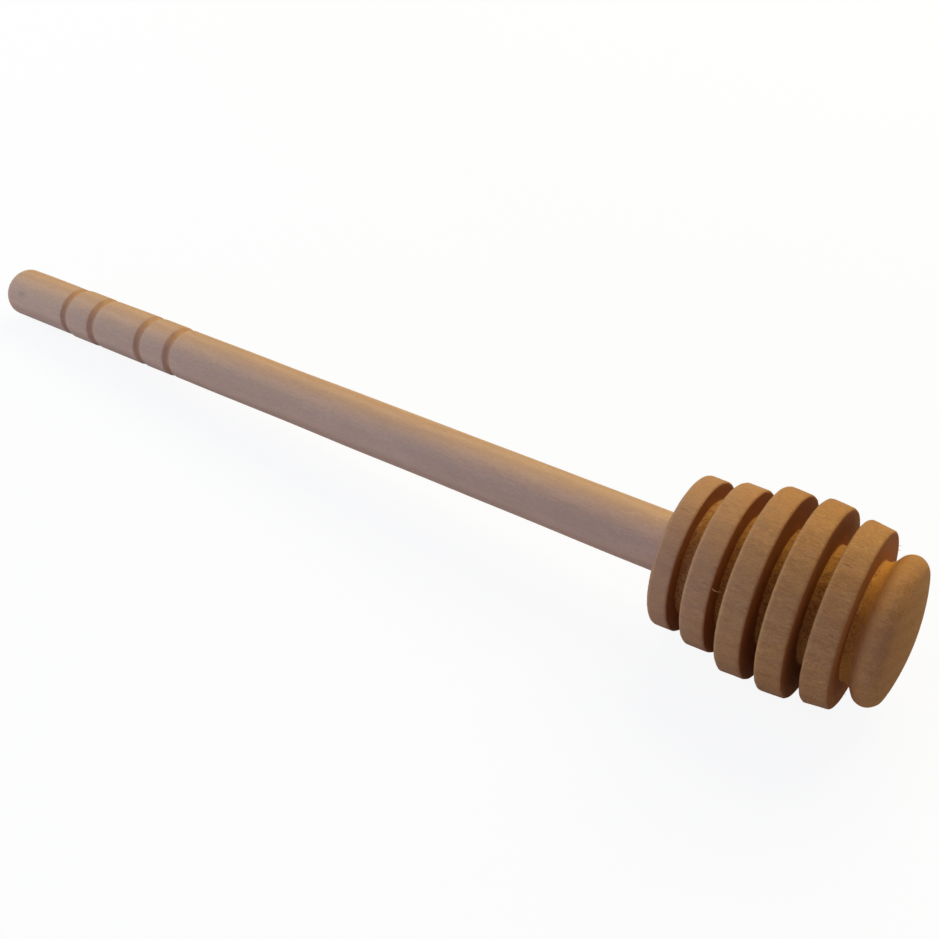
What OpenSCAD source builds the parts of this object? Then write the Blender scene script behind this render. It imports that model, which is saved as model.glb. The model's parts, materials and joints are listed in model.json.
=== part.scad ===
// Honey dipper
// A turned wooden head, with thin discs and an end knob, glued on a round dowel handle.
// Millimetres, +Z up. The dipper lies on a table, its butt towards -X and its head towards +X,
// and touches the table at the butt's rounding and at one of its widest discs. The origin is on the
// table, below the middle of the length. Each piece is drawn as it is turned, standing on its
// butt end along +Z, and is then laid down.

/* [Handle] */
// Diameter of the dowel
handle_d = 8; // [6:0.1:11]
// Length of handle that shows, from the butt end to the head
handle_len = 128.4; // [100:1:180]
// Rounding round the butt end
butt_round = 1.3; // [0.4:0.1:2.5]

/* [Grip grooves] */
// From the butt end to the middle of the first groove
groove_start = 15.4; // [8:0.1:24]
// Between the two grooves of a pair
groove_pitch = 6.6; // [4:0.1:9]
// Number of pairs of grooves
pair_count = 2; // [1:1:3]
// From one pair of grooves to the next
pair_pitch = 17.8; // [14:0.1:24]
// Width of a groove before its edges are eased
groove_w = 1.5; // [1.2:0.1:2.4]
// Depth of a groove
groove_depth = 0.45; // [0.2:0.05:0.7]
// Easing of a groove's edges
groove_ease = 0.4; // [0.1:0.05:0.6]
// How far the wood between the first and the last groove stands proud of the dowel
grip_rise = 0.1; // [0:0.05:0.3]

/* [Discs] */
// Number of discs on the head
disc_count = 5; // [3:1:5]
// Thickness of the first disc, which is next to the handle
first_disc_w = 2.8; // [2.2:0.1:3.6]
// Thickness of the other discs
disc_w = 3.3; // [2.4:0.1:3.6]
// Gap between two discs
disc_gap = 1.85; // [1.5:0.05:2.6]
// Largest diameter of the barrel that the discs follow
barrel_d = 24.8; // [22:0.1:30]
// Radius of the barrel's lengthwise arc
barrel_arc = 26; // [22:1:60]
// From the head's back face to the barrel's widest place
barrel_mid = 15.4; // [14:0.1:18]
// Diameter of the first disc, which stands proud of the barrel's arc
first_disc_d = 20.1; // [17:0.1:24]
// Rounding of the discs' edges
disc_round = 0.5; // [0.2:0.05:1]
// Diameter of the core between the discs
core_d = 15; // [13:0.1:16.5]

/* [Knob] */
// Gap between the last disc and the knob's back
knob_gap = 1.7; // [1.2:0.1:2.6]
// Diameter of the knob
knob_d = 18.6; // [17.6:0.1:20]
// Length of the knob, from its back to the tip
knob_len = 4.5; // [4.5:0.1:8]
// Cove that leads from the core up to the knob
knob_cove = 0.8; // [0.3:0.1:1]
// Rounding of the knob's back edge
knob_back_round = 0.9; // [0.3:0.1:1.2]
// Rounding of the knob's front edge
knob_front_round = 2.2; // [0.5:0.1:2.2]
// Radius of the dome on the knob's end
dome_r = 27; // [23:1:60]

/* [Glued joint] */
// Depth of the blind socket in the head
socket_depth = 16; // [8:1:18]
// Room for glue all round the handle in the socket
glue_gap = 0.05; // [0.02:0.01:0.15]
// Chamfer on the glued end of the handle
glued_chamfer = 0.6; // [0.2:0.1:1.5]

/* [Hidden] */
$fn = 144;

handle_wood = [0.66, 0.56, 0.47];
head_wood = [0.60, 0.45, 0.31];

// How far a cutting shape runs past the surface that it cuts
past = 1;
// How deep circles that touch are let into each other, so that their arcs join cleanly
lap = 0.0005;

handle_r = handle_d / 2;
core_r = core_d / 2;
knob_r = knob_d / 2;
disc_pitch = disc_w + disc_gap;

// Places along the axis, from the butt end
head_back = handle_len;
handle_end = head_back + socket_depth;
knob_back = disc_back(disc_count - 1) + disc_w + knob_gap;
tip = knob_back + knob_len;

// Back face, thickness and radius of each disc, the first one next to the handle
function disc_back(i) = head_back + (i == 0 ? 0 : first_disc_w + disc_gap + (i - 1) * disc_pitch);
function disc_thick(i) = i == 0 ? first_disc_w : disc_w;
function barrel_r(place) =
    barrel_d / 2 - barrel_arc + sqrt(barrel_arc * barrel_arc - (place - barrel_mid) * (place - barrel_mid));
function disc_r(i) = i == 0 ? first_disc_d / 2 : barrel_r(disc_back(i) - head_back + disc_w / 2);

// A groove is a round cut. The circles that ease its edges touch it and the handle's surface.
groove_r = (groove_w * groove_w / 4 + groove_depth * groove_depth) / (2 * groove_depth);
// The surface stands proud by rise on the side of a groove that faces the grip's middle.
groove_mid_r = handle_r - groove_depth + groove_r;
function ease_mid_r(rise) = handle_r + rise - groove_ease;
function ease_reach(rise) =
    sqrt(pow(groove_r + groove_ease - lap, 2) - pow(groove_mid_r - ease_mid_r(rise), 2));
first_groove = groove_start;
last_groove = groove_start + (pair_count - 1) * pair_pitch + groove_pitch;

// The cove and the back rounding share the step from the core up to the knob
knob_step = knob_r - core_r;
knob_fit = min(1, knob_step / (knob_cove + knob_back_round));
cove_r = knob_cove * knob_fit;
back_r = knob_back_round * knob_fit;

// The front rounding touches the dome from inside
dome_mid = tip - dome_r;
front_mid_r = knob_r - knob_front_round;
front_mid = dome_mid + sqrt(pow(dome_r - knob_front_round + lap, 2) - front_mid_r * front_mid_r);
dome_past = (dome_r + past) / (dome_r - knob_front_round);
rim_len = front_mid - knob_back - back_r;

// Angle of the line that touches the butt's rounding and a rounding round_r further along,
// whose middle lies at the place and the distance from the axis that are given
function rest_angle(place, from_axis, round_r) =
    let (along = place - butt_round, out = from_axis - (handle_r - butt_round))
    atan2(out, along) + asin((round_r - butt_round) / norm([along, out]));
disc_angles = [for (i = [0 : disc_count - 1])
    rest_angle(disc_back(i) + disc_round, disc_r(i) - disc_round, disc_round)];
tilt = max(concat(disc_angles, [rest_angle(knob_back + back_r, knob_r - back_r, back_r)]));

// Lying down, the butt's rounding is on the table and the middle of the length at the origin
rise = butt_round + (handle_r - butt_round) * cos(tilt) - butt_round * sin(tilt);
low_x = butt_round * cos(tilt) - (handle_r - butt_round) * sin(tilt) - butt_round;
high_x = dome_mid * cos(tilt) + dome_r;

module laid_down() {
    translate([-(low_x + high_x) / 2, 0, rise])
        rotate([0, 90 - tilt, 0])
            children();
}

// Outlines are drawn with the distance from the axis along X and the place along Y

module groove_outline(place) {
    butt_rise = place == first_groove ? 0 : grip_rise;
    head_rise = place == last_groove ? 0 : grip_rise;
    butt_edge = place - ease_reach(butt_rise);
    head_edge = place + ease_reach(head_rise);
    translate([groove_mid_r, place])
        circle(groove_r);
    difference() {
        polygon([
            [handle_r + past, butt_edge],
            [ease_mid_r(butt_rise), butt_edge],
            [groove_mid_r, place],
            [ease_mid_r(head_rise), head_edge],
            [handle_r + past, head_edge]
        ]);
        translate([ease_mid_r(butt_rise), butt_edge])
            circle(groove_ease);
        translate([ease_mid_r(head_rise), head_edge])
            circle(groove_ease);
    }
}

module handle_outline() {
    translate([handle_r - butt_round, butt_round])
        circle(butt_round);
    square([handle_r - butt_round, butt_round]);
    translate([0, butt_round])
        square([handle_r, handle_end - glued_chamfer - butt_round]);
    translate([0, first_groove])
        square([handle_r + grip_rise, last_groove - first_groove]);
    translate([0, handle_end - glued_chamfer])
        polygon([
            [0, 0],
            [handle_r, 0],
            [handle_r - glued_chamfer, glued_chamfer],
            [0, glued_chamfer]
        ]);
}

module handle() {
    color(handle_wood)
        laid_down()
            rotate_extrude()
                difference() {
                    handle_outline();
                    for (pair = [0 : pair_count - 1], second = [0, 1])
                        groove_outline(groove_start + pair * pair_pitch + second * groove_pitch);
                }
}

module disc_outline(radius, thick) {
    square([radius - disc_round, thick]);
    translate([0, disc_round])
        square([radius, thick - 2 * disc_round]);
    for (place = [disc_round, thick - disc_round])
        translate([radius - disc_round, place])
            circle(disc_round);
}

module cove_outline() {
    difference() {
        translate([0, knob_back - cove_r])
            square([core_r + cove_r, cove_r + back_r]);
        translate([core_r + cove_r, knob_back - cove_r])
            circle(cove_r);
    }
}

module knob_outline() {
    translate([0, knob_back])
        square([knob_r - back_r, back_r + rim_len]);
    translate([0, knob_back + back_r])
        square([knob_r, rim_len]);
    translate([knob_r - back_r, knob_back + back_r])
        circle(back_r);
    translate([front_mid_r, front_mid])
        intersection() {
            circle(knob_front_round);
            translate([0, -rim_len])
                square([knob_front_round + past, rim_len + knob_front_round + past]);
        }
    intersection() {
        translate([0, dome_mid])
            circle(dome_r);
        polygon([
            [0, knob_back],
            [front_mid_r, knob_back],
            [front_mid_r, front_mid],
            [front_mid_r * dome_past, dome_mid + (front_mid - dome_mid) * dome_past],
            [0, tip + past]
        ]);
    }
}

module head() {
    color(head_wood)
        laid_down()
            difference() {
                rotate_extrude() {
                    translate([0, head_back])
                        square([core_r, knob_back + back_r - head_back]);
                    for (i = [0 : disc_count - 1])
                        translate([0, disc_back(i)])
                            disc_outline(disc_r(i), disc_thick(i));
                    cove_outline();
                    knob_outline();
                }
                translate([0, 0, head_back - past])
                    cylinder(h = socket_depth + past, r = handle_r + glue_gap);
            }
}

handle();
head();
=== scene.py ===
# %% [markdown]
# # A turned wooden honey dipper
# The dipper is two pieces of bare hardwood: a slim dowel handle, and a head with five thin discs
# and a knob that the handle is glued into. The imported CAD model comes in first, as a frame that
# stays where it is. Its solids are plain, so each of the two is rebuilt here in the same place
# with softer edges, a hand-sanded unevenness and real wood. Everything is in metres, with the
# table at height zero.

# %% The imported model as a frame
import json
import math
import random

import bmesh
import bpy
from mathutils import Euler, Matrix, Vector, noise


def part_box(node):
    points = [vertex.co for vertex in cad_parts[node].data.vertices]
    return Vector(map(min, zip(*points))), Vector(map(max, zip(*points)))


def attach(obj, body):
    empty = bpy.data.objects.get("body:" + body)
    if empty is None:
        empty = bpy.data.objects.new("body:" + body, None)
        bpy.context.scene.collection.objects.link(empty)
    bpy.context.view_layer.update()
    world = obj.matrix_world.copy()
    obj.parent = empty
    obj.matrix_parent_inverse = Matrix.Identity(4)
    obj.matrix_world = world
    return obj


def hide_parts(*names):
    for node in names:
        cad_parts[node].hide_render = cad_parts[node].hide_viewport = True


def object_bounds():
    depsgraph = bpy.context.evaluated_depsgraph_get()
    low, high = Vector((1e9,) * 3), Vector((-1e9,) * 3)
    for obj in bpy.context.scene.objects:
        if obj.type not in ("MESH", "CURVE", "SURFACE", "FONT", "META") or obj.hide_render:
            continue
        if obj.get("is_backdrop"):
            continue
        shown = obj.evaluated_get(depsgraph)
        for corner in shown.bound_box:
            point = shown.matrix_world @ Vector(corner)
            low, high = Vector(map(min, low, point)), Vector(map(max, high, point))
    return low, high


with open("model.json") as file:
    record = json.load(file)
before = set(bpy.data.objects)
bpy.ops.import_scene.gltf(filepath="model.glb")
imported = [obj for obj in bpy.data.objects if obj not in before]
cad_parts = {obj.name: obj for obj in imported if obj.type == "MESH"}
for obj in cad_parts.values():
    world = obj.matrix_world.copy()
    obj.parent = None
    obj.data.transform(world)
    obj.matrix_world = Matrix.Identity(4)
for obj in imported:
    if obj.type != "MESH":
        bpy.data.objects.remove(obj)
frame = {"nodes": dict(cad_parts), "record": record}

cad_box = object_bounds()
MM = 0.001


def in_mm(lengths, digits=2):
    return [round(v / MM, digits) for v in lengths]


print("frame:", sorted(frame["nodes"]), "size in mm:", in_mm(cad_box[1] - cad_box[0]))

# %% [markdown]
# ## Camera
# A photograph of a round thing tells where its camera stood: every disc's rim is a circle, and
# only one viewing point makes all of their outlines fit at once. That point is a short way above
# the front of the dipper, looking down by 39 degrees. The picture was cropped a little off its
# middle, so the frame is shifted by a few hundredths instead of turning the camera, which would
# bend the perspective.

# %% Camera
VIEWPOINT = (0.08825, -0.10459, 0.11913)
VIEW_TURN = (50.94, 0.0, 34.368)
SENSOR_WIDTH, LENS, CROP_SHIFT = 36.0, 46.08, -0.0444
CLIP_START, CLIP_END = 0.005, 20.0

camera = bpy.data.objects.new("camera", bpy.data.cameras.new("camera"))
camera.location = VIEWPOINT
camera.rotation_euler = Euler([math.radians(angle) for angle in VIEW_TURN], "XYZ")
camera.data.sensor_width = SENSOR_WIDTH
camera.data.lens = LENS
camera.data.shift_y = CROP_SHIFT
camera.data.clip_start = CLIP_START
camera.data.clip_end = CLIP_END
bpy.context.scene.collection.objects.link(camera)
bpy.context.scene.camera = camera
bpy.context.scene.view_settings.view_transform = "Standard"
print("camera at", in_mm(camera.location, 1), "mm, lens", LENS, "mm")

# %% [markdown]
# ## The dipper's own axis
# A turner thinks along one axis, from the butt end to the tip, so both pieces are drawn standing
# on their butt end along Z and are laid down at the end. Lying on the table the axis climbs a
# little, because the head is thicker than the handle. The record's mount is the plain stretch at
# the butt, and its axis and middle give the direction and the place, so the new pieces land
# exactly on the old ones.

# %% Laying down
MOUNT_PLACE = 7.87
mount = frame["record"]["mounts"][0]
to_head = -Vector(mount["axis"]).normalized()
butt_end = Vector(mount["pos_m"]) - to_head * MOUNT_PLACE * MM
climb = math.atan2(to_head.z, to_head.x)
lay_down = Matrix.Translation(butt_end) @ Matrix.Rotation(math.pi / 2 - climb, 4, "Y")
print("the axis climbs", round(math.degrees(climb), 3), "degrees from", in_mm(butt_end))

# %% [markdown]
# ## Turning a shape
# Each piece is a body of revolution. A lathe follows one outline, and so does this: a few corner
# points joined by edges, each corner rounded by a vertex bevel, long edges cut shorter so that
# the surface has points to be sanded later, and the outline spun once round Z. The spin's last
# copy lands on its first, so use_merge and a remove doubles close the seam and the points on the
# axis.


# %% Turning a shape
SAME_POINT = 0.0002


def turned(corners, steps, longest):
    """A bmesh in metres, spun from (place, radius, rounding, segments) corners in millimetres."""
    bm = bmesh.new()
    points = [bm.verts.new((radius * MM, 0.0, place * MM)) for place, radius, _, _ in corners]
    for start, end in zip(points, points[1:]):
        bm.edges.new((start, end))
    for point, (_, _, rounding, segments) in zip(points, corners):
        if rounding:
            bmesh.ops.bevel(bm, geom=[point], offset=rounding * MM, segments=segments,
                            profile=0.5, affect="VERTICES", material=-1)
    for edge in list(bm.edges):
        cuts = int(edge.calc_length() / (longest(edge) * MM))
        if cuts:
            bmesh.ops.subdivide_edges(bm, edges=[edge], cuts=cuts)
    bmesh.ops.spin(bm, geom=bm.verts[:] + bm.edges[:], cent=(0, 0, 0), axis=(0, 0, 1),
                   angle=2 * math.pi, steps=steps, use_merge=True)
    bmesh.ops.remove_doubles(bm, verts=bm.verts, dist=SAME_POINT * MM)
    bmesh.ops.recalc_face_normals(bm, faces=bm.faces)
    return bm


# %% [markdown]
# ## Sanding
# A real turned surface is never a perfect circle: sandpaper and the pull of the grain leave it a
# few hundredths of a millimetre high or low. Moving every point along its distance from the axis
# by smooth noise gives that. The noise is looked up in stretched coordinates, because wood is
# uneven over centimetres along the grain but over millimetres across it.


# %% Sanding
ON_AXIS = 0.05


def sand(bm, depth, across, along, seed):
    """Moves points to or from the axis by up to depth(place, radius) millimetres."""
    for vert in bm.verts:
        radius = math.hypot(vert.co.x, vert.co.y)
        if radius < ON_AXIS * MM:
            continue
        spot = Vector((vert.co.x / across, vert.co.y / across, vert.co.z / along)) / MM
        amount = noise.noise(spot + Vector((seed, 0.0, 0.0)))
        amount *= depth(vert.co.z / MM, radius / MM)
        stretch = 1 + amount * MM / radius
        vert.co.x *= stretch
        vert.co.y *= stretch


# %% [markdown]
# ## Laying a piece down
# Everything that was drawn standing ends in the same steps: it is laid down, becomes a smooth
# object and rides with the dipper. The object could be turned instead, but then its patterns
# would turn with it, so the move goes into the mesh and every object stays at the origin, as the
# CAD nodes do. A piece that stands for a CAD node also gets an attribute that says how squarely
# its surface faces along the axis, for the end grain, and prints how far its box has moved from
# the node's.


# %% Laying a piece down
def laid_down(bm, name):
    """Lays the bmesh down as a smooth object that rides with the dipper."""
    bmesh.ops.transform(bm, matrix=lay_down, verts=bm.verts)
    mesh = bpy.data.meshes.new(name)
    bm.to_mesh(mesh)
    bm.free()
    mesh.shade_smooth()
    piece = bpy.data.objects.new(name, mesh)
    bpy.context.scene.collection.objects.link(piece)
    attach(piece, "root")
    print(name, sum(len(face.vertices) - 2 for face in mesh.polygons), "triangles")
    return piece


def stand_in(bm, name, node):
    """Lays the bmesh down in the place of its CAD node."""
    piece = laid_down(bm, name)
    end_grain = piece.data.attributes.new("end_grain", "FLOAT", "POINT")
    facing = [abs(vert.normal.dot(to_head)) for vert in piece.data.vertices]
    end_grain.data.foreach_set("value", facing)
    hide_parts(node)
    low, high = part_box(node)
    spans = list(zip(*piece.bound_box))
    moved_low = in_mm([min(span) - edge for span, edge in zip(spans, low)], 3)
    moved_high = in_mm([max(span) - edge for span, edge in zip(spans, high)], 3)
    print("its corners are off the CAD box by", moved_low, moved_high, "mm")
    return piece


# %% [markdown]
# ## Handle
# The handle is an 8 mm dowel with a rounded butt and four grip grooves in two pairs. A groove is
# cut with a small round tool, so its outline is one corner below the surface with a wide bevel,
# which makes its bottom round, and a small bevel on each shoulder. The wood between the first
# groove and the last stands a tenth of a millimetre proud of the dowel, where less of it was
# sanded away, so the two shoulders of a groove lie at different radii.

# %% Handle
HANDLE_R = 4.0
HANDLE_END = 144.4
BUTT_ROUND, END_CHAMFER = 1.3, 0.6
GROOVES = (15.4, 22.1, 33.2, 39.8)
GROOVE_HALF, GROOVE_DEEP, GROOVE_ROUND = 0.78, 1.11, 1.2
BUTT_SHOULDER, HEAD_SHOULDER = 0.12, 0.14
GRIP_RADII = (4.02, 4.15, 4.09, 4.07, HANDLE_R)
HANDLE_WEAR = 0.05
LONG_STEP = 0.9


def groove_corners(place, butt_r, head_r):
    """The outline of a grip groove between wood of two radii."""
    return [
        (place - GROOVE_HALF, butt_r, BUTT_SHOULDER, 3),
        (place, min(butt_r, head_r) - GROOVE_DEEP, GROOVE_ROUND, 12),
        (place + GROOVE_HALF, head_r, HEAD_SHOULDER, 3),
    ]


def handle_corners():
    corners = [(0.0, 0.0, 0, 0), (0.0, GRIP_RADII[0], BUTT_ROUND, 10)]
    for place, butt_r, head_r in zip(GROOVES, GRIP_RADII, GRIP_RADII[1:]):
        corners += groove_corners(place, butt_r, head_r)
    return corners + [
        (HANDLE_END - END_CHAMFER, HANDLE_R, 0, 0),
        (HANDLE_END, HANDLE_R - END_CHAMFER, 0, 0),
        (HANDLE_END, 0.0, 0, 0),
    ]


handle_mesh = turned(handle_corners(), steps=144, longest=lambda edge: LONG_STEP)
sand(handle_mesh, lambda place, radius: HANDLE_WEAR, across=3.0, along=14.0, seed=3.0)
handle = stand_in(handle_mesh, "handle_turned", "handle")

# %% [markdown]
# ## Discs
# The head is one block with deep grooves cut into it, which leaves five discs on a core. The
# first disc is the smallest, and the others follow the arc of a barrel. Each tapers a little
# towards the tip, the later ones more. The outline, the hairs and the wood all need to know where
# a disc lies, so a function tells them.

# %% Discs
HEAD_BACK = 128.4
DISC_COUNT = 5
FIRST_DISC_W, DISC_W = 2.75, 3.32
FIRST_GAP, DISC_GAP = 1.9, 1.83
FIRST_DISC_R = 10.04
BARREL_R, BARREL_ARC, BARREL_MID = 12.37, 26.0, 15.4
TAPER, TAPER_GROWTH = 0.05, 0.025


def disc(number):
    """Back face, thickness, and radius at the back and at the front of a disc, counted from 0."""
    if number == 0:
        return HEAD_BACK, FIRST_DISC_W, FIRST_DISC_R, FIRST_DISC_R - TAPER
    start = FIRST_DISC_W + FIRST_GAP + (number - 1) * (DISC_W + DISC_GAP)
    off_middle = start + DISC_W / 2 - BARREL_MID
    radius = BARREL_R - BARREL_ARC + math.sqrt(BARREL_ARC ** 2 - off_middle ** 2)
    return HEAD_BACK + start, DISC_W, radius, radius - TAPER - TAPER_GROWTH * number ** 2


print("disc radii in mm:", [round(disc(number)[2], 2) for number in range(DISC_COUNT)])

# %% [markdown]
# ## Head
# Working from the socket outwards, the outline is one long list of corners: down into the socket
# that holds the handle, up the back of the first disc, over each disc in turn, up the knob's
# sloping neck, and round the knob to the tip. The core in the grooves is torn rather than cut
# clean, so it is sanded far less than the rims.

# %% Head
BACK_ROUND, FRONT_ROUND, CORE_ROUND = 0.55, 0.3, 0.15
CORE_R = 7.5
SOCKET_R, MOUTH_ROUND = 4.05, 0.12
KNOB_BACK, KNOB_EDGE, TIP = 153.5, 156.25, 157.62
NECK_START, NECK_END = KNOB_BACK - 0.75, KNOB_BACK + 0.5
KNOB_R, DOME_R = 9.35, 4.35
NECK_ROUND, SHOULDER_ROUND, EDGE_ROUND, DOME_ROUND = 0.6, 0.8, 1.38, 3.45
TORN_END = KNOB_BACK - 1.4
TORN_WEAR, SMOOTH_WEAR = 0.16, 0.06
SHORT_STEP = 0.35


def head_corners():
    corners = [
        (HANDLE_END, 0.0, 0, 0),
        (HANDLE_END, SOCKET_R, 0, 0),
        (HEAD_BACK, SOCKET_R, MOUTH_ROUND, 2),
    ]
    for number in range(DISC_COUNT):
        back, thick, back_r, front_r = disc(number)
        if number:
            corners.append((back, CORE_R, CORE_ROUND, 2))
        corners.append((back, back_r, BACK_ROUND, 6))
        corners.append((back + thick, front_r, FRONT_ROUND, 4))
        corners.append((back + thick, CORE_R, CORE_ROUND, 2))
    return corners + [
        (NECK_START, CORE_R, NECK_ROUND, 6),
        (NECK_END, KNOB_R, SHOULDER_ROUND, 8),
        (KNOB_EDGE, KNOB_R, EDGE_ROUND, 10),
        (TIP, DOME_R, DOME_ROUND, 10),
        (TIP, 0.0, 0, 0),
    ]


def head_wear(place, radius):
    """The core is rough, the rims and the knob are sanded smooth."""
    torn = SOCKET_R + 1 < radius < CORE_R + 0.4 and place < TORN_END
    return TORN_WEAR if torn else SMOOTH_WEAR


def head_step(edge):
    """Long edges where one touches the hidden socket or the axis, short ones everywhere else."""
    inner_r = min(vert.co.x for vert in edge.verts) / MM
    return LONG_STEP if inner_r < SOCKET_R + 0.1 else SHORT_STEP


head_mesh = turned(head_corners(), steps=240, longest=head_step)
sand(head_mesh, head_wear, across=1.3, along=3.0, seed=11.0)
head = stand_in(head_mesh, "head_turned", "head")

# %% [markdown]
# ## Raised fibres
# The cutter leaves hairs of wood standing on the discs, and one longer splinter bridges a groove.
# Each is a real thin thing, so it is a five-sided cone with cuts along its length, and every ring
# of points is then pushed further out the further along it lies, which curls the hair. They are
# scattered by a seeded random generator, and all are rooted a little below the surface.

# %% Raised fibres
FIBRE_R, FIBRE_TIP_R = 0.05, 0.0175
FIBRE_DEPTH, SPLINTER_DEPTH = 0.05, 0.2
FIBRES_PER_DISC = 9
ROOTS, LENGTHS = (0.15, 0.85), (0.5, 1.1)
CURLS, SWERVES = (0.12, 0.25), (-0.15, 0.15)
SPLINTER = {"place": 136.2, "degrees": 241.0, "length": 1.4, "curl": 0.2, "swerve": 0.2}


def fibre(bm, place, degrees, radius, length, curl, swerve):
    """A hair rooted at (place, angle, radius). A negative length points to the butt end."""
    before = len(bm.verts)
    cone = bmesh.ops.create_cone(bm, cap_ends=True, segments=5, radius1=FIBRE_R * MM,
                                 radius2=FIBRE_TIP_R * MM, depth=abs(length) * MM)
    sides = {edge for vert in cone["verts"] for edge in vert.link_edges
             if edge.verts[0].co.z * edge.verts[1].co.z < 0}
    bmesh.ops.subdivide_edges(bm, edges=list(sides), cuts=6, use_grid_fill=True)
    bm.verts.ensure_lookup_table()
    hair = bm.verts[before:]
    for vert in hair:
        along = vert.co.z / (abs(length) * MM) + 0.5
        vert.co.x += curl * MM * along ** 2
        vert.co.y += swerve * MM * math.sin(math.pi * along)
        vert.co.z = length * MM * along
    turn = Matrix.Rotation(math.radians(degrees), 4, "Z")
    root = turn @ Matrix.Translation((radius * MM, 0.0, place * MM))
    bmesh.ops.transform(bm, matrix=root, verts=hair)


fibre_mesh = bmesh.new()
dice = random.Random(5)
for number in range(DISC_COUNT):
    back, thick, back_r, front_r = disc(number)
    for _ in range(FIBRES_PER_DISC):
        part = dice.uniform(*ROOTS)
        root_r = back_r + (front_r - back_r) * part - FIBRE_DEPTH
        length = dice.choice((-1, 1)) * dice.uniform(*LENGTHS)
        fibre(fibre_mesh, back + thick * part, dice.uniform(0, 360), root_r, length,
              curl=dice.uniform(*CURLS), swerve=dice.uniform(*SWERVES))
fibre(fibre_mesh, radius=disc(1)[3] - SPLINTER_DEPTH, **SPLINTER)
bmesh.ops.recalc_face_normals(fibre_mesh, faces=fibre_mesh.faces)
fibres = laid_down(fibre_mesh, "raised_fibres")

# %% [markdown]
# ## Shader maths as Python
# A material is a graph of nodes, and maths in it is tedious to wire by hand. One small class
# wraps a socket so that a + b or 1 - mask adds the right Math node.


# %% Shader maths
class Value:
    """A number or colour that comes out of a node. Operators on it add Math nodes."""

    def __init__(self, graph, socket):
        self.graph = graph
        self.socket = socket

    def __add__(self, other):
        return self.graph.maths("ADD", self, other)

    def __sub__(self, other):
        return self.graph.maths("SUBTRACT", self, other)

    def __rsub__(self, other):
        return self.graph.maths("SUBTRACT", other, self)

    def __mul__(self, other):
        return self.graph.maths("MULTIPLY", self, other)

    __radd__ = __add__
    __rmul__ = __mul__


# %% [markdown]
# ## Graph
# The materials and the world are all graphs. One method makes any kind of node from its type, its
# settings and its sockets, and gives back an output as a value, so that one node can be written
# inside another. The kinds that are needed often have a short method of their own: a mask is a
# smooth step between two measures, a blend mixes two colours, and a stretched vector makes a
# pattern longer or shorter along the grain.


# %% Graph
class Graph:
    """The nodes of one material or world."""

    def __init__(self, owner):
        self.owner = owner
        owner.use_nodes = True
        self.tree = owner.node_tree
        self.tree.nodes.clear()

    def add(self, kind, settings=None, sockets=None, out=0):
        """Makes a node: its settings, then its sockets. Gives back the output asked for."""
        node = self.tree.nodes.new(kind)
        for key, value in (settings or {}).items():
            setattr(node, key, value)
        for key, value in (sockets or {}).items():
            if isinstance(value, Value):
                self.tree.links.new(value.socket, node.inputs[key])
            else:
                node.inputs[key].default_value = value
        return Value(self, node.outputs[out]) if len(node.outputs) else None

    def maths(self, operation, a, b=0.0):
        return self.add("ShaderNodeMath", {"operation": operation}, {0: a, 1: b})

    def mask(self, value, low, high):
        """0 where the value is at low, 1 where it is at high, smooth in between."""
        return self.add("ShaderNodeMapRange", {"interpolation_type": "SMOOTHSTEP"},
                        {"Value": value, "From Min": low, "From Max": high})

    def blend(self, factor, a, b):
        """Mixes two colours."""
        settings = {"data_type": "RGBA", "clamp_factor": True}
        return self.add("ShaderNodeMix", settings, {0: factor, 6: a, 7: b}, out=2)

    def length(self, vector):
        settings = {"operation": "LENGTH"}
        return self.add("ShaderNodeVectorMath", settings, {0: vector}, out=1)

    def stretched(self, vector, scale, shift=(0.0, 0.0, 0.0)):
        return self.add("ShaderNodeMapping", {"vector_type": "POINT"},
                        {"Vector": vector, "Scale": scale, "Location": shift})


# %% [markdown]
# ## Wood
# Wood is a pattern in space that the lathe cuts through, so it reads object coordinates. A
# Mapping node turns them until the grain runs along Z and counts in millimetres, and from there
# the place along the axis and the distance from it tell rims, cores and grooves apart. Growth
# rings are shells round a pith that lies outside the piece, and give faint lengthwise bands.
# Fibres, dashes and speckle are noise drawn out along the grain, each shorter than the one
# before. Patches are a few millimetres wide, and blotches wider still, where the wood is browner
# or greyer.

# %% Wood
upright = lay_down.inverted()


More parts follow.
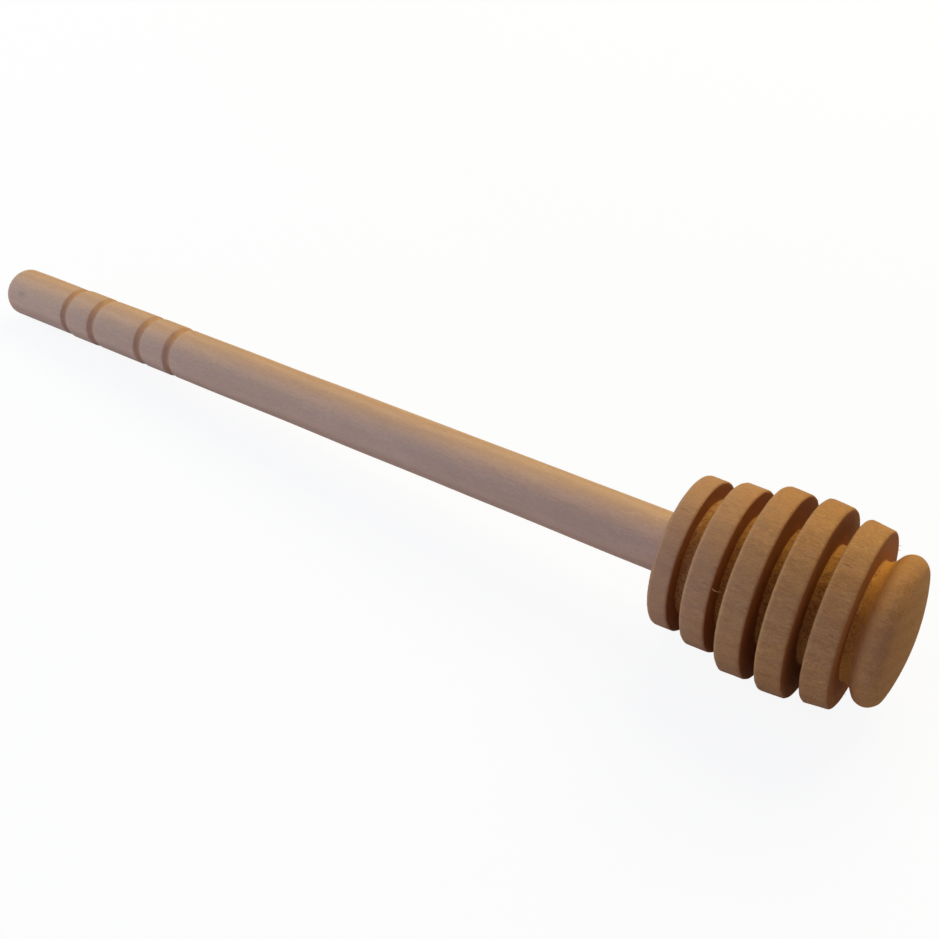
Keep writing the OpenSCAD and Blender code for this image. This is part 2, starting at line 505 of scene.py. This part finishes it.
class Wood(Graph):
    """A graph that starts with the grain's coordinates in millimetres and its patterns."""

    def __init__(self, name, ring_width, pith):
        super().__init__(bpy.data.materials.new(name))
        self.grain = self.add("ShaderNodeMapping", {"vector_type": "POINT"}, {
            "Vector": self.add("ShaderNodeTexCoord", out=3),
            "Location": upright.to_translation() / MM,
            "Rotation": upright.to_euler("XYZ"),
            "Scale": (1 / MM, 1 / MM, 1 / MM),
        })
        self.place = self.add("ShaderNodeSeparateXYZ", None, {"Vector": self.grain}, out=2)
        self.radius = self.length(self.stretched(self.grain, (1.0, 1.0, 0.0)))
        from_pith = self.length(self.stretched(self.grain, (1.0, 1.0, 0.012), pith))
        wander = self.pattern((0.16, 0.16, 0.025), detail=3.0) * 1.6
        turns = from_pith * (1 / ring_width) + wander
        self.rings = self.maths("SINE", turns * math.tau) * 0.5 + 0.5
        self.fibres = self.pattern((5.0, 5.0, 0.25), detail=3.0, roughness=0.6)
        self.dashes = self.pattern((4.2, 4.2, 0.9), (40.0, 7.0, 3.0))
        self.speckle = self.pattern((5.0, 5.0, 2.6), (9.0, 2.0, 17.0), 3.0, 0.65)
        self.patches = self.pattern((0.7, 0.7, 0.4), (3.0, 31.0, 5.0))
        self.blotch = self.pattern((0.2, 0.2, 0.09), (5.0, 9.0, 2.0))

    def pattern(self, scale, shift=(0.0, 0.0, 0.0), detail=2.0, roughness=0.5):
        """Noise that is as fine as the scale says, per millimetre across and along the grain."""
        return self.add("ShaderNodeTexNoise", {"noise_dimensions": "3D"}, {
            "Vector": self.stretched(self.grain, scale, shift),
            "Scale": 1.0,
            "Detail": detail,
            "Roughness": roughness,
        })

    def finish(self, tone, height, roughness, lift):
        """A matt surface in the tone, whose fibres stand up by lift millimetres."""
        normal = self.add("ShaderNodeBump", None, {
            "Strength": 0.7,
            "Distance": lift * MM,
            "Height": height,
        })
        surface = self.add("ShaderNodeBsdfPrincipled", None, {
            "Base Color": tone,
            "Roughness": roughness,
            "Normal": normal,
            "Specular IOR Level": 0.3,
        })
        self.add("ShaderNodeOutputMaterial", None, {"Surface": surface})
        return self.owner


# %% [markdown]
# ## The handle's wood
# The handle is a pale, pinkish beech-like dowel, sanded smooth, with hardly any figure: faint
# short streaks, warmer patches, soft grey blotches, and one small grey smudge near the butt,
# which is a mask on the distance from a point of the surface. The grip grooves are tinted a
# darker ochre: a mask on the distance from the axis tints whatever lies below the dowel's
# surface.


# %% Handle wood
def colour(red, green, blue):
    return (red, green, blue, 1.0)


LIGHT_STREAK, DARK_STREAK = colour(0.715, 0.54, 0.43), colour(0.60, 0.44, 0.35)
WARM_PATCH, GREY_BLOTCH = colour(0.67, 0.47, 0.34), colour(0.56, 0.44, 0.37)
GREY_SMUDGE, GROOVE_OCHRE = colour(0.40, 0.31, 0.27), colour(0.58, 0.355, 0.185)
SMUDGE_PLACE, SMUDGE_ANGLE, SMUDGE_SQUEEZE = 4.4, math.radians(236), 0.55

wood = Wood("dowel_wood", ring_width=1.9, pith=(22.0, 35.0, 0.0))
streaks = wood.rings * 0.1 + wood.fibres * 0.24 + wood.dashes * 0.24 + wood.speckle * 0.42
tone = wood.blend(wood.mask(streaks, 0.38, 0.62), LIGHT_STREAK, DARK_STREAK)
tone = wood.blend(wood.mask(wood.patches, 0.45, 0.7) * 0.25, tone, WARM_PATCH)
tone = wood.blend(wood.mask(wood.blotch, 0.5, 0.72) * 0.25, tone, GREY_BLOTCH)
from_smudge = wood.add("ShaderNodeVectorMath", {"operation": "DISTANCE"}, {
    0: wood.stretched(wood.grain, (1.0, 1.0, SMUDGE_SQUEEZE)),
    1: (HANDLE_R * math.cos(SMUDGE_ANGLE), HANDLE_R * math.sin(SMUDGE_ANGLE),
        SMUDGE_PLACE * SMUDGE_SQUEEZE),
}, out=1)
smudge = wood.mask(from_smudge + wood.speckle, 1.35, 0.6)
tone = wood.blend(smudge * 0.45, tone, GREY_SMUDGE)
# The grip grooves are tinted a darker ochre below the dowel's surface.
sunk = wood.mask(wood.radius, HANDLE_R - 0.04, HANDLE_R - 0.38)
tone = wood.blend(sunk * 0.5, tone, GROOVE_OCHRE)
nap = wood.fibres + wood.speckle * 0.5
handle.data.materials.append(wood.finish(tone, nap, roughness=0.62, lift=0.04))
print("handle wood:", len(wood.tree.nodes), "nodes")

# %% [markdown]
# ## The head's wood
# The head is browner and coarser, and paler towards the handle, which is painted light: more
# light falls on that end. The rims are speckled, and in patches there are light flecks and dark
# flecks; the dark flecks are painted shadows beside raised fibres. The faces of the discs cut
# straight across the grain, and end grain soaks up light, so it is darker; on the disc faces it is
# painted darker still, which is painted shade of the narrow grooves. The piece's own attribute
# says how squarely the surface faces along the axis. The knob was sanded and keeps the rims'
# colour, but its back is painted browner, which is painted shade of the last disc.
# The cores and the knob's neck lie where no sandpaper reaches, so they stay rough. They are
# painted a bright golden, which is painted warm light that bounces in the grooves; it fades out
# over the knob's back, and the torn fibres of the cores hold dark dust.

# %% Head wood
DISCS_END = disc(DISC_COUNT - 1)[0] + DISC_W
RIM_LIGHT, RIM_DARK = colour(0.60, 0.35, 0.147), colour(0.44, 0.245, 0.10)
DULL_PATCH, ORANGE_BLOTCH = colour(0.50, 0.31, 0.175), colour(0.56, 0.29, 0.11)
PAINTED_LIGHT_NEAR_HANDLE, PAINTED_KNOB_SHADE = colour(0.59, 0.40, 0.29), colour(0.56, 0.29, 0.085)
LIGHT_FLECK, PAINTED_FIBRE_SHADOW = colour(0.72, 0.43, 0.16), colour(0.34, 0.17, 0.07)
PAINTED_CORE_GLOW, DARK_DUST = colour(0.80, 0.46, 0.12), colour(0.34, 0.15, 0.05)
END_GRAIN_AND_SHADE = colour(0.385, 0.155, 0.049)
HEAD_RINGS = {"ring_width": 2.3, "pith": (-30.0, 18.0, 0.0)}

wood = Wood("head_wood", **HEAD_RINGS)
streaks = wood.rings * 0.05 + wood.fibres * 0.2 + wood.dashes * 0.3 + wood.speckle * 0.45
tone = wood.blend(wood.mask(streaks, 0.38, 0.62), RIM_LIGHT, RIM_DARK)
tone = wood.blend(wood.mask(wood.patches, 0.42, 0.7) * 0.3, tone, DULL_PATCH)
tone = wood.blend(wood.mask(wood.blotch, 0.46, 0.70) * 0.3, tone, ORANGE_BLOTCH)
# Painted light: the head is painted paler towards the handle, where more light falls.
lit_near_handle = wood.mask(wood.place, HEAD_BACK + 18, HEAD_BACK - 2)
tone = wood.blend(lit_near_handle * 0.5, tone, PAINTED_LIGHT_NEAR_HANDLE)
past_discs = wood.mask(wood.place, DISCS_END + 0.1, DISCS_END + 0.6)
# Light flecks, and dark flecks that are painted shadows beside raised fibres.
flecks = wood.pattern((3.0, 3.0, 0.9), (1.0, 4.0, 8.0), detail=1.0)
fleck_patches = wood.mask(wood.patches, 0.46, 0.6) * (1 - past_discs)
tone = wood.blend(wood.mask(flecks, 0.62, 0.72) * fleck_patches * 0.65, tone, LIGHT_FLECK)
tone = wood.blend(wood.mask(flecks, 0.36, 0.27) * fleck_patches * 0.6, tone, PAINTED_FIBRE_SHADOW)
print("rims:", len(wood.tree.nodes), "nodes")

# %% [markdown]
# ## The head's cores, end grain and knob
# The same block of wood looks different wherever it was cut in another way, and some parts of it
# are painted with light or shade. Splitting it into pieces with a material each would put a hard
# line between them, so masks on the place along the axis and on the distance from it find the
# cores, the neck and the knob's back instead. Each runs smoothly from one measure to another, and
# so does the mask on the attribute for the end grain.

# %% Cores, end grain and knob
end_grain = wood.add("ShaderNodeAttribute", {"attribute_name": "end_grain"}, out=2)
shaded_disc_faces = wood.mask(end_grain, 0.7, 0.98) * (1 - past_discs)
neck = 1 - wood.mask(wood.place, KNOB_BACK - 0.2, KNOB_BACK + 1.2)
core = wood.mask(wood.radius, CORE_R + 1.7, CORE_R + 0.2) * neck * (1 - shaded_disc_faces)
torn = wood.mask(wood.speckle, 0.47, 0.6) * wood.mask(wood.radius, CORE_R + 0.5, CORE_R + 0.2)
torn = torn * (1 - past_discs * 0.7)
# Painted shade: the knob's back, in the shadow of the last disc, is painted browner.
knob_back_shade = past_discs * wood.mask(wood.place, KNOB_BACK + 2.2, KNOB_BACK + 0.6)
tone = wood.blend(knob_back_shade * 0.5, tone, PAINTED_KNOB_SHADE)
# Painted light: the cores and the neck are painted golden for the warm light that bounces in the
# grooves.
tone = wood.blend(core * (1 - lit_near_handle * 0.5), tone, PAINTED_CORE_GLOW)
tone = wood.blend(core * torn * 0.65, tone, DARK_DUST)
# End grain is darker, and the disc faces are painted darker still as painted shade of the grooves.
tone = wood.blend(shaded_disc_faces * 0.95, tone, END_GRAIN_AND_SHADE)
nap = wood.fibres * 0.5 + wood.speckle * (1 + core)
head.data.materials.append(wood.finish(tone, nap, roughness=0.65, lift=0.1))
print("head wood:", len(wood.tree.nodes), "nodes")

# %% [markdown]
# ## The raised fibres' wood
# The hairs are the same wood, but clean and thin, so they catch more light than the rims. They
# could share the head's material, but its masks would stain them like the surface that they stand
# on. So they get the same grain in two lighter colours, and no masks.

# %% Fibre wood
HAIR_LIGHT, HAIR_DARK = colour(0.70, 0.45, 0.19), colour(0.60, 0.37, 0.15)
wood = Wood("fibre_wood", **HEAD_RINGS)
tone = wood.blend(wood.fibres, HAIR_LIGHT, HAIR_DARK)
fibres.data.materials.append(wood.finish(tone, wood.dashes, roughness=0.6, lift=0.01))
print("fibre wood:", len(wood.tree.nodes), "nodes")

# %% [markdown]
# ## Table and backdrop
# The dipper was photographed on white. The table is a plain pale plane: to the object it is white
# paper that throws soft light back, and to the camera it is partly lit by the lamps, which keeps
# the dipper's shadow, and partly a glow of its own, which brings it up to the backdrop's white.
# Far from the dipper it fades into the backdrop, so that no edge of the table shows.

# %% Table and backdrop
WHITE = colour(1.0, 1.0, 1.0)
BACKDROP_LEVEL, GLOW_LEVEL = 0.975, 0.906
PAPER_WHITE, SHADOW_TINT = colour(0.62, 0.62, 0.62), colour(0.1, 0.126, 0.172)
TABLE_SIZE = 3.0
FADE_FROM, FADE_TO = 0.2, 0.7

table_mesh = bmesh.new()
bmesh.ops.create_grid(table_mesh, x_segments=1, y_segments=1, size=TABLE_SIZE)
table_data = bpy.data.meshes.new("table")
table_mesh.to_mesh(table_data)
table_mesh.free()
table = bpy.data.objects.new("table", table_data)
bpy.context.scene.collection.objects.link(table)
table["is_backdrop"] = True

graph = Graph(bpy.data.materials.new("white_table"))
paper = graph.add("ShaderNodeBsdfDiffuse", None, {"Color": PAPER_WHITE})
shadow_catch = graph.add("ShaderNodeBsdfDiffuse", None, {"Color": SHADOW_TINT})
glow = graph.add("ShaderNodeEmission", None, {"Color": WHITE, "Strength": GLOW_LEVEL})
near = graph.add("ShaderNodeAddShader", None, {0: shadow_catch, 1: glow})
far = graph.add("ShaderNodeEmission", None, {"Color": WHITE, "Strength": BACKDROP_LEVEL})
fade = graph.mask(graph.length(graph.add("ShaderNodeTexCoord", out=3)), FADE_FROM, FADE_TO)
seen = graph.add("ShaderNodeMixShader", None, {0: fade, 1: near, 2: far})
camera_ray = graph.add("ShaderNodeLightPath")
surface = graph.add("ShaderNodeMixShader", None, {0: camera_ray, 1: paper, 2: seen})
graph.add("ShaderNodeOutputMaterial", None, {"Surface": surface})
table.data.materials.append(graph.owner)
print("table:", len(graph.tree.nodes), "nodes")

# %% [markdown]
# ## Room
# The white behind the dipper must not light it, because white light from all around would flatten
# the wood. The world works like the table, then: a Light Path node shows the white backdrop to the
# camera alone, and to the dipper a dim room that is tinted a little pink.

# %% Room
ROOM_TINT, ROOM_LEVEL = colour(1.0, 0.65, 0.8), 0.125

graph = Graph(bpy.data.worlds.new("studio"))
room = graph.add("ShaderNodeBackground", None, {"Color": ROOM_TINT, "Strength": ROOM_LEVEL})
backdrop = graph.add("ShaderNodeBackground", None, {"Color": WHITE, "Strength": BACKDROP_LEVEL})
camera_ray = graph.add("ShaderNodeLightPath")
surface = graph.add("ShaderNodeMixShader", None, {0: camera_ray, 1: room, 2: backdrop})
graph.add("ShaderNodeOutputWorld", None, {"Surface": surface})
bpy.context.scene.world = graph.owner
print("backdrop at", BACKDROP_LEVEL, "and room at", ROOM_LEVEL)

# %% [markdown]
# ## Lamps
# The upper edges are warm and the sides that face the camera are cool, so there were several
# lights: a strong warm one behind and above the dipper, a window close by on the butt's side that
# brightens the backs of the discs, a low bluish card in front, and a weak one on the right that
# lifts the knob's end. All are large area lamps, which keep the shadows soft. A lamp's watts are
# worked out from the level that it should give on a surface that faces it, where a level of 1
# shows a colour as it is written.


# %% Lamps
AIM = Vector((0.02, 0.0, 0.01))


def lamp(name, direction, level, tint, distance, size):
    """A square area lamp that shines from a direction onto the middle of the dipper."""
    data = bpy.data.lights.new(name, "AREA")
    data.shape = "SQUARE"
    data.size = size
    data.energy = level * math.pi * math.pi * distance * distance
    data.color = tint
    away = Vector(direction).normalized()
    light = bpy.data.objects.new(name, data)
    light.location = AIM + away * distance
    light.rotation_euler = away.to_track_quat("Z", "Y").to_euler()
    bpy.context.scene.collection.objects.link(light)
    print(name, round(data.energy, 2), "watts")


lamp("warm_lamp", (0.05, 1.0, 1.0), level=0.85, tint=(1.0, 0.75, 0.33), distance=0.8, size=0.65)
lamp("window", (-0.94, -0.34, 0.36), level=0.415, tint=(0.82, 0.98, 0.88), distance=0.5, size=0.45)
lamp("front_card", (-0.39, -0.92, 0.1), level=0.3, tint=(0.52, 0.53, 1.0), distance=0.5, size=0.35)
lamp("right_card", (1.0, 0.0, 0.36), level=0.045, tint=(0.8, 0.9, 1.0), distance=0.8, size=0.5)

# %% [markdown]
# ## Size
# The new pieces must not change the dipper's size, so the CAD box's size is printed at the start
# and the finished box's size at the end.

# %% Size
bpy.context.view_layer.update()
print("visual size in mm:", in_mm(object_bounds()[1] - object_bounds()[0]))
